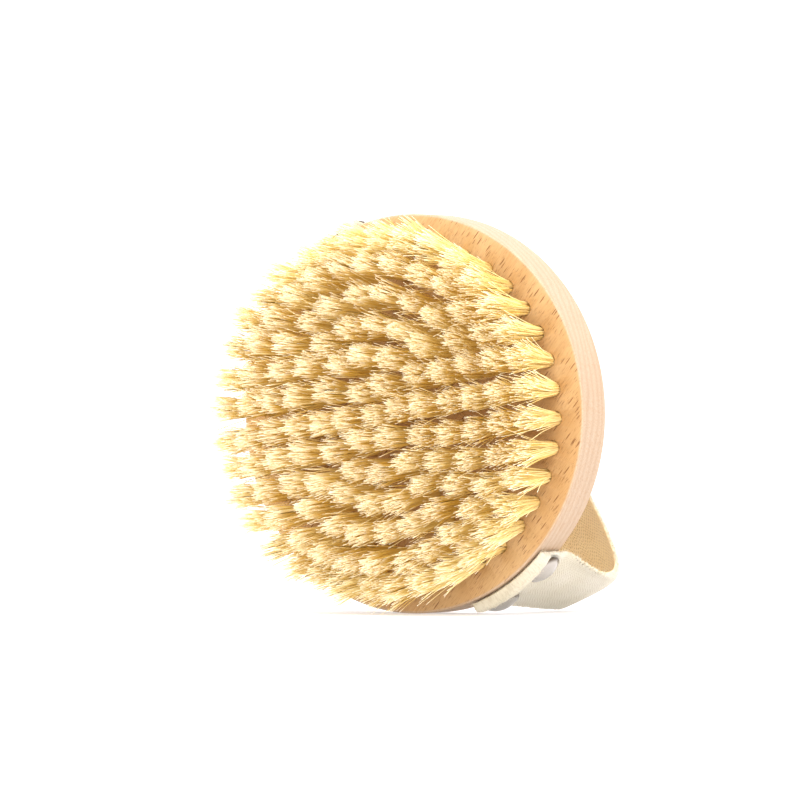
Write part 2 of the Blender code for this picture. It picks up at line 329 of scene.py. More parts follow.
# Painted highlight: a lighter band on the rounded front and back edges.
painted_edge_highlight = rim * (1 - from_axis.between(BLOCK_RADIUS - 0.0003, BLOCK_RADIUS - 0.00005))
wood = (painted_edge_highlight * 0.5).tint(rim.tint(face_colour, rim_colour), rgb(206, 180, 150))
streaked = ((fibre - 0.44) * 1.5).clamped().tint(wood, rgb(168, 124, 78))
pored = (pores.between(0.60, 0.74) * 0.5).tint(streaked, rgb(134, 88, 50))
marks = ((big_rays * 0.80 + small_rays * 0.60) * (1 - rim * 0.94)).clamped()
feed(beech_shader, "Base Color", marks.tint(pored, rgb(112, 66, 32)))
feed(beech_shader, "Roughness", 0.44 + fibre * 0.14 + marks * 0.1)
relief = fibre * 0.4 - marks * 0.9 - pores * 0.3 + late_wood * 0.1
feed(beech_shader, "Normal", bump(relief, 0.00006))
print("beech nodes:", len(beech.node_tree.nodes))

# %% [markdown]
# ## The turned block
# The real block is turned on a lathe, then bored: 127 blind holes from the front for the tufts,
# and four small radial ones for the nails. The same steps work here. One profile is revolved in
# 240 steps, and one cutter made of all the bores is subtracted. Each bore has a slightly wider
# mouth, as a drill leaves it, which catches a thin line of light.

# %% Revolve a profile about the bench's z axis
def revolve(profile, sides):
    """Rings of points from a profile of (radius, height), top middle to bottom middle."""
    turn = np.arange(sides) * 2 * math.pi / sides
    rings = [(0.0, 0.0, profile[0][1])]
    for radius, height in profile[1:-1]:
        ring = np.stack([radius * np.cos(turn), radius * np.sin(turn), np.full(sides, height)], axis=-1)
        rings.extend(map(tuple, ring))
    rings.append((0.0, 0.0, profile[-1][1]))
    faces = [(0, 1 + i, 1 + (i + 1) % sides) for i in range(sides)]
    for step in range(len(profile) - 3):
        first = 1 + step * sides
        for i in range(sides):
            j = (i + 1) % sides
            faces.append((first + i, first + sides + i, first + sides + j, first + j))
    last = len(rings) - 1
    first = last - sides
    faces.extend((last, first + (i + 1) % sides, first + i) for i in range(sides))
    return np.array(rings), faces


def arc(centre, radius, start, end, steps):
    """Profile points on a circle, from one angle in degrees to another."""
    turns = np.radians(np.linspace(start, end, steps + 1))
    return [(centre[0] + radius * math.cos(t), centre[1] + radius * math.sin(t)) for t in turns]


print("a profile can be revolved")

# %% [markdown]
# ## Meshes from plain lists
# Blender can build a piece with its own edit tools, but a list of points and a list of faces is
# shorter to say and comes out the same every time. Each piece is put in the scene standing up, with
# its finish, and its sharp edges are kept crisp. Bores are taken out by a Boolean modifier, whose
# result becomes the mesh.

# %% Put meshes into the scene
def new_piece(name, points, faces, finish, smooth_below=None):
    """A mesh object from bench points; edges sharper than the angle in degrees stay crisp."""
    mesh = bpy.data.meshes.new(name)
    mesh.from_pydata(stand(np.asarray(points, float)).tolist(), [], faces)
    mesh.materials.append(finish)
    piece = bpy.data.objects.new(name, mesh)
    bpy.context.scene.collection.objects.link(piece)
    if smooth_below:
        mesh.polygons.foreach_set("use_smooth", [True] * len(mesh.polygons))
        mesh.set_sharp_from_angle(angle=math.radians(smooth_below))
    mesh.update()
    return piece


def store(piece, label, values):
    """One value on every point, for a finish to read."""
    layer = piece.data.attributes.new(label, "FLOAT", "POINT")
    layer.data.foreach_set("value", values.astype(np.float32).ravel())


def bore(piece, cutter):
    """Takes the cutter's shape out of a piece, and leaves the piece a plain mesh."""
    cut = piece.modifiers.new("bores", "BOOLEAN")
    cut.operation = "DIFFERENCE"
    cut.object = cutter
    cut.solver = "EXACT"
    bpy.context.view_layer.update()
    ready = piece.evaluated_get(bpy.context.evaluated_depsgraph_get())
    mesh = bpy.data.meshes.new_from_object(ready)
    piece.modifiers.clear()
    piece.data = mesh
    bpy.data.objects.remove(cutter)


print("pieces can be made and bored")

# %% [markdown]
# ## At the lathe
# The front edge of the block is only just broken, and the back edge is rounded for the hand. A
# cylinder with a Bevel modifier would round both alike, so the profile is drawn from arcs.

# %% Turn the block
BLOCK_DEPTH = BACK_Y - FACE_Y
edge = 0.0006
back_round = 0.0030
profile = [(0.0, 0.0), (BLOCK_RADIUS - edge - 0.001, 0.0)]
profile += arc((BLOCK_RADIUS - edge, -edge), edge, 90, 0, 4)
profile += [(BLOCK_RADIUS, -0.004), (BLOCK_RADIUS, -0.008)]
profile += arc((BLOCK_RADIUS - back_round, back_round - BLOCK_DEPTH), back_round, 0, -90, 10)
profile += [(BLOCK_RADIUS - 0.005, -BLOCK_DEPTH), (0.0, -BLOCK_DEPTH)]
block_points, block_faces = revolve(profile, 240)
block = new_piece("beech_block", block_points, block_faces, beech, smooth_below=30)
print("block turned:", len(block.data.polygons), "faces")

# %% [markdown]
# ## At the drill
# All the bores are gathered into one cutter first. Cutting 131 times, once for each bore, would
# give the same block and take far longer.

# %% Bore the block
bore_profile = [(0.0, 0.001), (HOLE_RADIUS + 0.00115, 0.001), (HOLE_RADIUS, -0.00015)]
bore_profile += [(HOLE_RADIUS, -HOLE_DEPTH + 0.0007), (0.0, -HOLE_DEPTH)]
bore_points, bore_faces = revolve(bore_profile, 20)
all_points = []
all_faces = []


def add_copy(points, faces):
    """Puts one more copy into the mesh that is being gathered."""
    start = sum(len(p) for p in all_points)
    all_points.append(points)
    all_faces.extend(tuple(start + i for i in face) for face in faces)


for ring in range(RING_COUNT + 1):
    for angle in ring_angles(ring):
        add_copy(bore_points + np.array(polar(ring * RING_STEP, angle)), bore_faces)
nail_bore_profile = [(0.0, 0.004), (0.0011, 0.004), (0.0011, -NAIL_HOLE_DEPTH), (0.0, -NAIL_HOLE_DEPTH)]
nail_bore, nail_bore_faces = revolve(nail_bore_profile, 12)
NAIL_ANGLES = [STRAP_ANGLE + NAIL_SPREAD, STRAP_ANGLE - NAIL_SPREAD]
NAIL_ANGLES += [angle + math.pi for angle in NAIL_ANGLES]
for angle in NAIL_ANGLES:
    seat = Matrix.Translation(polar(BLOCK_RADIUS, angle, -NAIL_DEPTH))
    turn = Matrix.Rotation(angle, 4, "Z") @ Matrix.Rotation(math.pi / 2, 4, "Y")
    add_copy(np.array([seat @ turn @ Vector(p) for p in nail_bore]), nail_bore_faces)
cutter = new_piece("bores", np.concatenate(all_points), all_faces, beech)
bore(block, cutter)
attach(block, "brush")
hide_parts("wood_block")
print("block bored:", len(block.data.polygons), "faces")

# %% [markdown]
# ## Natural bristle
# Each tuft is a bundle of single bristles folded in two round a flat wire anchor and driven into
# its hole. Above the hole the bundle flares, so the tips of neighbours almost meet and the roots
# stand apart. A cone with a hair texture can't show that, and a particle system can't be
# exported, so every bristle is real geometry: a tapering three-sided tube along a bent line, fold
# and both arms. Two numbers are stored on each point: how near the tip it is, and the bristle's
# own tone, since one bundle holds golden, ivory and a few dark bristles. Real bristle lets some
# light through to its neighbours. Following that light would take very many bounces, so a faint
# even golden glow stands in for it.

# %% The bristle finish
bristle, bristle_shader, place = new_finish("bristle_natural", Specular_IOR_Level=0.3, Roughness=0.42)
bristle_shader.inputs["Emission Color"].default_value = rgb(255, 214, 112)
bristle_shader.inputs["Emission Strength"].default_value = 0.06
tip = stored(place, "tip")
tone = stored(place, "tone")
body_colour = tone.tint(rgb(226, 187, 82), rgb(253, 238, 182))
toward_tip = tip.between(0.80, 1.02).tint(body_colour, rgb(255, 249, 228))
from_root = (1 - tip.between(-0.05, 0.40)) * 0.6
rooted = from_root.tint(toward_tip, rgb(236, 204, 140))
dark = tone.between(1.5, 1.6)
feed(bristle_shader, "Base Color", dark.tint(rooted, rgb(84, 56, 30)))
print("bristle nodes:", len(bristle.node_tree.nodes))

# %% [markdown]
# ## How a tuft opens
# A tuft is as round as its hole at the root and opens into an oval that nearly meets its
# neighbours. Its bristles cling together in a few wisps, the outer ones end lower, and about one
# tip in nine strays across. The tufts of the outer ring open further, because nothing holds them
# on the outside. Nobody could place every bristle by hand, so random numbers do it, from a fixed
# start, which gives the same brush each time.

# %% Lay out the bristles of one tuft
rng = np.random.default_rng(127)
TIP_SPREAD = 1.07  # how much further apart the tufts stand at the tips than at the holes
TIP_STEP = RING_STEP * TIP_SPREAD
ROOT_REACH = HOLE_RADIUS - 0.00018
STRAY_SHARE = 0.11
OUTER_RING_FLARE = 1.5
CROWN = 0.0026  # how much lower a tuft's outermost tips end
GRIP_DEPTH = 0.0082  # where the arms pass the anchor


def tip_reach(ring):
    """How far a tuft's tips spread, out from the middle of the brush and along its ring."""
    out = (TIP_STEP - 0.0006) / 2
    if ring == 0:
        return out, out
    chord = 2 * ring * TIP_STEP * math.sin(math.pi / (ring * TUFTS_PER_RING_STEP))
    return out, (chord + 0.0004) / 2


def arms(ring, bundle, sign, lean, length):
    """Points up one arm of each bristle in a tuft, in the tuft's own directions."""
    count = len(bundle)
    reach = np.sqrt(bundle[:, 0])
    turn = bundle[:, 1] * math.pi * sign
    root = np.stack([reach * np.cos(turn), reach * np.sin(turn)], axis=-1)
    out, chord = tip_reach(ring)
    if ring == RING_COUNT:
        out *= OUTER_RING_FLARE
    clump = np.round(turn / 1.1) * 1.1
    spread = reach * (0.80 + rng.normal(0, 0.17, count))
    aim = turn * 0.6 + clump * 0.4 + rng.normal(0, 0.12, count)
    end = np.stack([out * spread * np.cos(aim), chord * spread * np.sin(aim)], axis=-1)
    end += np.array(lean) + rng.normal(0, 0.00030, (count, 2))
    stray = rng.random(count) < STRAY_SHARE
    end[stray] += rng.normal(0, 0.0023, (stray.sum(), 2))
    height = length - CROWN * reach**2 + rng.normal(0, 0.0010, count)
    bow = rng.normal(0, 0.00028, (count, 2))
    stations = []
    for share in (0.0, 0.34, 0.69, 1.0):
        flat = root * ROOT_REACH + (end - root * ROOT_REACH) * share**1.22
        flat = flat + bow * math.sin(math.pi * share)
        stations.append(np.column_stack([flat, height * share - 0.0003 * (share == 0)]))
    beside_anchor = sign * (0.0004 + np.abs(root[:, 1]) * 0.0014)
    grip = np.column_stack([root[:, 0] * 0.0017, beside_anchor, np.full(count, -GRIP_DEPTH)])
    return [grip] + stations


outer_reach = tip_reach(RING_COUNT)
print("room for the tips of an outer tuft, mm:", [round(2000 * r, 1) for r in outer_reach])

# %% [markdown]
# ## A thin tube along every bristle
# A curve with a bevel would do for one bristle, but 12,000 curves are slow. The points of all the
# bristles are held in one array instead, and three corners are set round each of them at once.
# Three sides are enough on something a quarter of a millimetre thick.

# %% Sweep a three-sided tube along every bristle
def sweep(paths, radii, across):
    """Points and faces of thin tubes. paths is bristle, station, xyz; across is never along a path."""
    ahead = np.diff(paths, axis=1, append=paths[:, -1:] * 2 - paths[:, -2:-1])
    behind = np.concatenate([ahead[:, :1], ahead[:, :-1]], axis=1)
    tangent = ahead + behind
    tangent /= np.linalg.norm(tangent, axis=-1, keepdims=True)
    side_one = np.cross(tangent, across)
    side_one /= np.linalg.norm(side_one, axis=-1, keepdims=True)
    side_two = np.cross(tangent, side_one)
    corners = []
    for i in range(3):
        turn = 2 * math.pi * i / 3
        offset = side_one * math.cos(turn) + side_two * math.sin(turn)
        corners.append(paths + offset * radii[..., None])
    points = np.stack(corners, axis=2)
    count, stations = paths.shape[:2]
    index = np.arange(count * stations * 3).reshape(count, stations, 3)
    quads = []
    for i in range(3):
        j = (i + 1) % 3
        low, high = index[:, :-1], index[:, 1:]
        corners_of_quad = [low[..., i], low[..., j], high[..., j], high[..., i]]
        quads.append(np.stack(corners_of_quad, axis=-1).reshape(-1, 4))
    ends = np.concatenate([index[:, 0, ::-1], index[:, -1]])
    return points.reshape(-1, 3), np.concatenate(quads).tolist() + ends.tolist()


print("bristles can be swept")

# %% [markdown]
# ## Ring by ring
# Each ring is one piece, as its tufts mingle at their tips and go in with one setting of the jig.
# Every tuft leans and reaches a little differently and has its own overall tone. One tuft copied
# 127 times would be lighter to hold, but it would look stamped. The outer ring leans outwards and
# is set a little paler.

# %% Make one ring of tufts
LEAN_SHARE = 0.08  # how far a tuft's tips lean outwards, as a share of its ring's radius
OUTER_LEAN = 0.0028
FOLD_DEPTH = 0.0096
INNER_TONE = 0.45
OUTER_TONE = 0.75


def ring_of_tufts(ring, bristles):
    """Paths, radii, tips and tones of every bristle in one ring."""
    paths = []
    crosses = []
    tones = []
    for angle in ring_angles(ring):
        bundle = rng.random((bristles, 2))
        drift = OUTER_LEAN if ring == RING_COUNT else ring * RING_STEP * LEAN_SHARE
        lean = rng.normal(0, 0.00060, 2) + np.array([drift, 0.0])
        length = BRISTLE_LENGTH + rng.normal(0.0004, 0.00050) - 0.0008 * (ring == RING_COUNT)
        right = arms(ring, bundle, 1, lean, length)
        bundle[:, 0] = np.clip(bundle[:, 0] + rng.normal(0, 0.08, bristles), 0.0, 1.0)
        left = arms(ring, bundle, -1, lean, length)
        fold = (right[0] + left[0]) / 2
        fold[:, 1] = 0.0
        fold[:, 2] = -FOLD_DEPTH - 0.0006 * bundle[:, 0]
        path = np.stack(right[::-1] + [fold] + left, axis=1)
        turn = np.array(Matrix.Rotation(angle, 3, "Z")).T
        path[..., 0] += ring * RING_STEP
        paths.append(path @ turn)
        crosses.append(np.broadcast_to(turn[0], path.shape))
        mood = rng.normal(OUTER_TONE if ring == RING_COUNT else INNER_TONE, 0.10)
        tones.append(np.clip(rng.normal(mood, 0.30, bristles), 0.0, 1.0))
    return np.concatenate(paths), np.concatenate(crosses), np.concatenate(tones)


DARK_SHARE = 0.012
DARK_TONE = 2.0
ROOT_RADIUS = 0.00013
TAPER = 0.00006


def bristle_piece(name, ring, bristles):
    paths, crosses, tones = ring_of_tufts(ring, bristles)
    tones = np.where(rng.random(len(tones)) < DARK_SHARE, DARK_TONE, tones)
    one_arm = [1.0, 0.69, 0.34, 0.0, -0.3]
    share = np.array(one_arm + [-0.4] + one_arm[::-1])
    thick = ROOT_RADIUS - TAPER * share.clip(0) ** 2
    width = rng.normal(1.0, 0.14, len(paths)).clip(0.6, 1.4)
    points, faces = sweep(paths, thick * width[:, None], crosses)
    piece = new_piece(name, points, faces, bristle, smooth_below=75)
    tip_values = np.repeat(np.tile(share, len(paths)), 3)
    tone_values = np.repeat(tones, len(share) * 3)
    for label, values in (("tip", tip_values), ("tone", tone_values)):
        store(piece, label, values)
    return piece


print("a ring can be tufted")

# %% [markdown]
# ## Fill every hole
# The rings are filled from the middle outwards. The outer ring gets fewer bristles to a tuft, so
# that single ones show along the brush's edge.

# %% Tuft the whole brush
INNER_BRISTLES = 100
OUTER_BRISTLES = 88
for ring in range(RING_COUNT + 1):
    name = f"ring_{ring}" if ring else "middle"
    bristles = OUTER_BRISTLES if ring == RING_COUNT else INNER_BRISTLES
    tufts = bristle_piece("bristles_" + name, ring, bristles)
    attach(tufts, "brush")
    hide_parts("tuft_" + name)
    print(tufts.name, "has", len(tufts.data.polygons), "faces")

# %% [markdown]
# ## The anchors
# A short flat wire, hammered in over each fold, holds the tuft. Nobody sees one in a finished
# brush, yet they are what makes it a brush, so all 127 are here: small plates with eased corners,
# lying out from the middle in each hole.

# %% The anchor wire finish
steel, steel_shader, place = new_finish("anchor_wire", Metallic=1.0)
scratch = noise(place, stretched(place, 9000.0, 900.0, 900.0), 1.0)
feed(steel_shader, "Base Color", scratch.tint(rgb(170, 168, 164), rgb(205, 203, 198)))
feed(steel_shader, "Roughness", 0.3 + scratch * 0.25)
print("anchor wire nodes:", len(steel.node_tree.nodes))

# %% [markdown]
# ## One plate, 127 times
# A cube is scaled to the size of the wire and its edges are bevelled. Its points are then copied
# into every hole, turned to lie outwards. Linked copies would do as well, but one mesh is one piece.

# %% Cut and place the anchors
ANCHOR_SIZE = (0.0039, 0.0005, 0.0018)
ANCHOR_MIDDLE = -0.0084  # below the front face
plate = bmesh.new()
bmesh.ops.create_cube(plate, size=1.0, matrix=Matrix.Diagonal((*ANCHOR_SIZE, 1.0)))
bmesh.ops.bevel(plate, geom=plate.edges[:], offset=0.0001, segments=2, affect="EDGES")
plate.verts.index_update()
plate_points = np.array([v.co for v in plate.verts])
plate_faces = [tuple(v.index for v in face.verts) for face in plate.faces]
plate.free()
all_points = []
all_faces = []
for ring in range(RING_COUNT + 1):
    for angle in ring_angles(ring):
        turn = np.array(Matrix.Rotation(angle, 3, "Z"))
        spot = np.array(polar(ring * RING_STEP, angle, ANCHOR_MIDDLE))
        add_copy(plate_points @ turn.T + spot, plate_faces)
anchors = new_piece("anchors", np.concatenate(all_points), all_faces, steel, smooth_below=40)
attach(anchors, "brush")
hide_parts("anchor_middle", *[f"anchor_ring_1_{i + 1}" for i in range(6)])
print("anchors:", len(all_points))

# %% [markdown]
# ## The hand strap
# One length of heavy cotton webbing is nailed to the rim, stands up behind the block as a loop for
# the hand, and is nailed again on the far side. At each end it is turned under, so two layers
# puff up round the nail heads. It is a flat strap, so it is modelled directly: a cross-section of
# the webbing, swept along the line that the loop takes. Every point stores how far along and
# across the webbing it lies, and the weave is drawn in those two directions.

# %% The line that the strap takes
STRAP_WIDTH = 0.028
STRAP_THICKNESS = 0.0016
STRAP_REACH = 0.0603
LOOP_TOP = -0.0536  # at the strap's lower edge, from the front face
LOOP_DROP = 0.0058  # how much lower the upper edge hangs
LOOP_SHOULDER = 0.005
SHOULDER_SWELL = 0.0115
LOOP_BULGE = 0.0034
LOOP_TWIST = 0.0028
UPPER_BULGE = 0.0006


def ease(share):
    return share * share * (3 - 2 * share)


def strap_line(along, across):
    """Bench points on the strap's inner face: along runs from 0 to 6 and across from -1 to 1."""
    lower = along <= 3
    step = np.where(lower, along, 6 - along)
    upper = np.clip((1 + across) / 2, 0, 1)
    top = LOOP_TOP + LOOP_DROP * upper**3
    shoulder = LOOP_SHOULDER + SHOULDER_SWELL * upper**6
    widest = STRAP_REACH + np.where(lower, LOOP_BULGE + LOOP_TWIST * across, UPPER_BULGE)
    rise = np.clip(step - 1, 0, 1)
    q = np.clip(step - 2, 0, 1)
    turn = math.pi / 2 * q**1.5 / (q**1.5 + (1 - q) ** 1.5)
    on_rim = -0.0009 + (0.0009 - BLOCK_DEPTH) * np.clip(step, 0, 1)
    on_leg = -BLOCK_DEPTH + (top + shoulder + BLOCK_DEPTH) * rise
    on_top = top + shoulder * (1 - np.sin(turn) ** (2 / 3))
    z = np.where(step <= 1, on_rim, np.where(step <= 2, on_leg, on_top))
    wrap = 1 - ease(rise)
    reach = STRAP_REACH + (widest - STRAP_REACH) * ease(rise)
    reach = np.where(step > 2, widest * np.maximum(np.cos(turn), 0) ** (2 / 3), reach)
    width = across * STRAP_WIDTH / 2
    bend = width / STRAP_REACH
    reach = reach - wrap * STRAP_REACH * (1 - np.cos(bend))
    sideways = width * (1 - wrap) + STRAP_REACH * np.sin(bend) * wrap
    reach = np.where(lower, reach, -reach)
    x = reach * math.cos(STRAP_ANGLE) - sideways * math.sin(STRAP_ANGLE)
    y = reach * math.sin(STRAP_ANGLE) + sideways * math.cos(STRAP_ANGLE)
    return np.stack([x, y, z], axis=-1)


dense = np.linspace(0, 6, 6001)
middle = strap_line(dense, np.zeros_like(dense))
travelled = np.concatenate([[0], np.cumsum(np.linalg.norm(np.diff(middle, axis=0), axis=1))])
STRAP_LENGTH = float(travelled[-1])
print(f"the strap is {1000 * STRAP_LENGTH:.0f} mm long and {1000 * STRAP_WIDTH:.0f} mm wide")

# %% [markdown]
# ## How the webbing swells at its ends
# Turned under, the cut end stands up as a soft roll in front of the nail heads. The heads press
# the cotton flat under them, and small puckers run out from each. All of that is one height over
# the inner face, as a formula of the place on the webbing. It could be sculpted, but then it
# wouldn't follow the nails when they are moved. The upper end has almost no roll.

# %% How thick the webbing stands, and where it is nailed down
NAIL_HEAD_RADIUS = 0.0055
NAIL_FROM_END = NAIL_DEPTH - 0.0009
NAIL_FROM_MIDDLE = NAIL_SPACING / 2
LOWER_ROLL = 0.0019
UPPER_ROLL = 0.0002


def smooth_step(low, high, value):
    return ease(np.clip((value - low) / (high - low), 0, 1))


def webbing_height(from_end, across, roll):
    """Height of the outer face over the inner one; roll is how far the cut end stands up."""
    crest = roll * np.exp(-(((from_end - 0.0017) / 0.0021) ** 2))
    hem = 0.0005 * (1 - smooth_step(0.010, 0.0155, from_end))
    ripple = 0.00005 * np.sin(from_end * 1300 + across * 700) * (1 - smooth_step(0.01, 0.022, from_end))
    height = STRAP_THICKNESS + crest * (1 - 0.25 * np.abs(across / 0.014) ** 3) + hem + ripple
    for place_across in (-NAIL_FROM_MIDDLE, NAIL_FROM_MIDDLE):
        away = np.hypot(from_end - NAIL_FROM_END, across - place_across)
        turn = np.arctan2(across - place_across, from_end - NAIL_FROM_END)
        puckers = 0.62 + 0.38 * np.cos(turn * 11 + 1.3 * np.sin(3 * turn))
        height = height - 0.00028 * puckers * (1 - smooth_step(0.0056, 0.0100, away))
        press = (1 - smooth_step(0.0053, 0.0062, away)) * smooth_step(0.0024, 0.0042, from_end)
        height = height * (1 - press) + 0.00140 * press
    return height


crest_height = webbing_height(np.array(0.0014), np.array(0.0), LOWER_ROLL)
print("webbing height on the crest, mm:", round(1000 * float(crest_height), 2))

# %% [markdown]
# ## From a line to a band
# The band's section goes once round the webbing: over the outer face, down one selvage, back along
# the inner face and up the other. It is set at 420 places along the line, close enough for the
# nails' puckers and for the small loops of weft that make the selvage wavy. A plane with a
# Solidify modifier has square edges, and woven edges are round.

# %% Sweep the webbing along its line
STATIONS = 420
FACE_COLUMNS = 44
lengths = np.linspace(0, STRAP_LENGTH, STATIONS)
near_end = np.minimum(lengths, STRAP_LENGTH - lengths)
face_across = np.linspace(-1, 1, FACE_COLUMNS + 1)
edge_depths = np.array([0.86, 0.62, 0.38, 0.14])
loop_across = np.concatenate([face_across, np.full(4, 1.0), face_across[::-1], np.full(4, -1.0)])
outer_side = np.ones(FACE_COLUMNS + 1)
loop_depth = np.concatenate([outer_side, edge_depths, 0 * outer_side, edge_depths[::-1]])
along_grid = np.interp(lengths, travelled, dense)[:, None] + 0 * loop_across
length_grid = lengths[:, None] + 0 * loop_across
end_grid = near_end[:, None] + 0 * loop_across
scallop = 0.00013 * np.sin(length_grid * 2 * math.pi / 0.0024)
scallop = scallop + 0.00010 * np.sin(length_grid * 2 * math.pi / 0.0061)
only_edge = np.sign(loop_across) * np.abs(loop_across) ** 12
across_grid = loop_across + only_edge * scallop / (STRAP_WIDTH / 2)
depth_grid = loop_depth + 0 * end_grid
inner = strap_line(along_grid, across_grid)
nudge = 0.002
further = strap_line(np.clip(along_grid + nudge, 0, 6), across_grid)
ahead = further - strap_line(np.clip(along_grid - nudge, 0, 6), across_grid)
beside = strap_line(along_grid, across_grid + nudge) - strap_line(along_grid, across_grid - nudge)
normal = np.cross(ahead, beside)
normal /= np.linalg.norm(normal, axis=-1, keepdims=True)
beside /= np.linalg.norm(beside, axis=-1, keepdims=True)
print("strap grid:", inner.shape[:2])

# %% [markdown]
# ## Folded ends and full edges
# At a fold the two faces run together in a round nose. A selvage is full and rounded, and where the
# end is turned under it shows two layers, one on the other. Both are small shifts of the grid's
# points, outwards from the webbing. The grid is then closed into one skin with a cap at each end.

# %% Round the ends, plump the selvages and close the strap
roll_grid = np.where(length_grid < STRAP_LENGTH / 2, LOWER_ROLL, UPPER_ROLL)
height = webbing_height(end_grid, across_grid * STRAP_WIDTH / 2, roll_grid)
round_end = np.sqrt(1 - (1 - np.clip(end_grid / 0.0013, 0, 1)) ** 2)
END_LEVEL = 0.18  # the share of the height at which each cut end closes to a line
level = END_LEVEL + (depth_grid - END_LEVEL) * round_end
hem_part = 1 - smooth_step(0.011, 0.014, end_grid)
one_layer = np.sin(math.pi * depth_grid)
two_layers = np.abs(np.sin(2 * math.pi * depth_grid))
plump = 0.00045 * (one_layer * (1 - hem_part) + two_layers * hem_part)
on_edge = (np.abs(loop_across) == 1) & (loop_depth > 0) & (loop_depth < 1)
flat_edge = np.abs(loop_across) ** 10 * 0.00022 * np.where(loop_depth > 0.5, 1, -1)
strap_points = inner + normal * (level * height - flat_edge * (loop_depth != 0.5))[..., None]
strap_points = strap_points + beside * (np.sign(loop_across) * on_edge * plump)[..., None]
around = len(loop_across)
index = np.arange(STATIONS * around).reshape(STATIONS, around)
following = np.roll(index, -1, axis=1)
quads = np.stack([index[:-1], index[1:], following[1:], following[:-1]], axis=-1).reshape(-1, 4)
strap_faces = quads.tolist() + [index[0].tolist(), index[-1, ::-1].tolist()]
print("strap faces:", len(strap_faces))

# %% [markdown]
# ## Cotton webbing
# Heavy unbleached cotton: a twill whose diagonal steps reverse across the width, pale on the raised
# yarns, with painted shade down between them. The inner face is painted a warmer tan for the warm
# light that the beech throws back into the loop. The weave is a sum of waves in the strap's own
# along and across, so it bends with the loop.

# %% The webbing finish
cotton, cotton_shader, place = new_finish("cotton_webbing", Roughness=0.92, Specular_IOR_Level=0.15)
cotton_shader.inputs["Sheen Weight"].default_value = 0.25
cotton_shader.inputs["Sheen Roughness"].default_value = 0.5
strap_run = stored(place, "along")
strap_side = stored(place, "across")
strap_level = stored(place, "level")
ZIGZAG_WIDTH = 0.0048  # from one turn of the zigzag to the next but one
TWILL_STEP = 0.0013
YARN_PITCH = 0.00062
zigzag = (strap_side / ZIGZAG_WIDTH).math("PINGPONG", strap_side / ZIGZAG_WIDTH, 0.5) * ZIGZAG_WIDTH
yarn_wobble = noise(place, joined(strap_run * 260.0, strap_side * 260.0, strap_level), 1.0, 2.0)
diagonal = (strap_run + zigzag * 1.3) / TWILL_STEP + yarn_wobble * 0.5
crossing = strap_side / YARN_PITCH + yarn_wobble * 0.6
step_wave = diagonal.wave()
yarn_wave = crossing.wave()
off_edge = strap_side.math("ABSOLUTE", strap_side) * -1.0 + STRAP_WIDTH / 2
woven = off_edge.between(0.0002, 0.0014) * strap_run.between(0.0022, 0.0045)
woven = woven * (STRAP_LENGTH - strap_run).between(0.0022, 0.0045)
weave = (step_wave * 0.55 + yarn_wave * 0.45) * woven + (1 - woven) * 0.6
lint = noise(place, joined(strap_run * 2400.0, strap_side * 2400.0, strap_level), 1.0, 3.0)
patches = noise(place, joined(strap_run * 90.0, strap_side * 90.0, strap_level), 1.0, 2.0)
print(f"weave: diagonals every {1000 * TWILL_STEP} mm, yarns every {1000 * YARN_PITCH} mm")

# %% [markdown]
# ## Colour from the weave
# The same weave that raises the yarns paints shade into the gaps between them, so colour and
# relief always agree. Modelling each yarn would be truer close up, but it would take millions of faces.

# %% Colour and relief of the webbing
outer_face = strap_level.between(0.02, 0.25)
cream = patches.between(0.3, 0.75).tint(rgb(204, 196, 174), rgb(212, 205, 187))
# Painted light: the inner face is a warmer tan, standing in for warm light thrown back from the beech.
tan = patches.between(0.3, 0.75).tint(rgb(216, 194, 150), rgb(224, 206, 164))
cloth = outer_face.tint(tan, cream)
# Painted shade: darker where the weave dips between yarns; where the weave fades near edges and ends, lint
# adds random darker specks.
gaps = ((1 - weave.between(0.12, 0.42)) * 0.8 * lint.between(0.25, 0.6)).clamped()
gaps = (gaps + (1 - woven) * lint.between(0.4, 0.7) * 0.3).clamped()
feed(cotton_shader, "Base Color", gaps.tint(cloth, rgb(150, 128, 94)))
feed(cotton_shader, "Normal", bump(weave * 0.7 + lint * 0.5, 0.00022))
print("webbing nodes:", len(cotton.node_tree.nodes))

# %% [markdown]
# ## The strap as one piece
# The ends are nailed to the block, and the hand pushes on the bridge. The webbing is made as one
# piece with its finish; how far along and across the webbing each point lies, and its level, are
# stored on it, and the imported strap parts are hidden.

# %% Make the strap
strap = new_piece("hand_strap", strap_points.reshape(-1, 3), strap_faces, cotton, smooth_below=60)
stored_values = {"along": length_grid, "across": across_grid * STRAP_WIDTH / 2, "level": level}
for label, values in stored_values.items():
    store(strap, label, values)
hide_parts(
    "strap_end_lower", "strap_leg_lower", "strap_bridge", "strap_leg_upper", "strap_end_upper"
)
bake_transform(strap)
print("strap points:", len(strap.data.vertices))

# %% [markdown]
# ## Cotton fuzz
# Cut ends and selvages of soft cotton are never clean: short fibres stand off them and blur the
# outline. They are swept like the bristles, only much finer, from points on the strap.

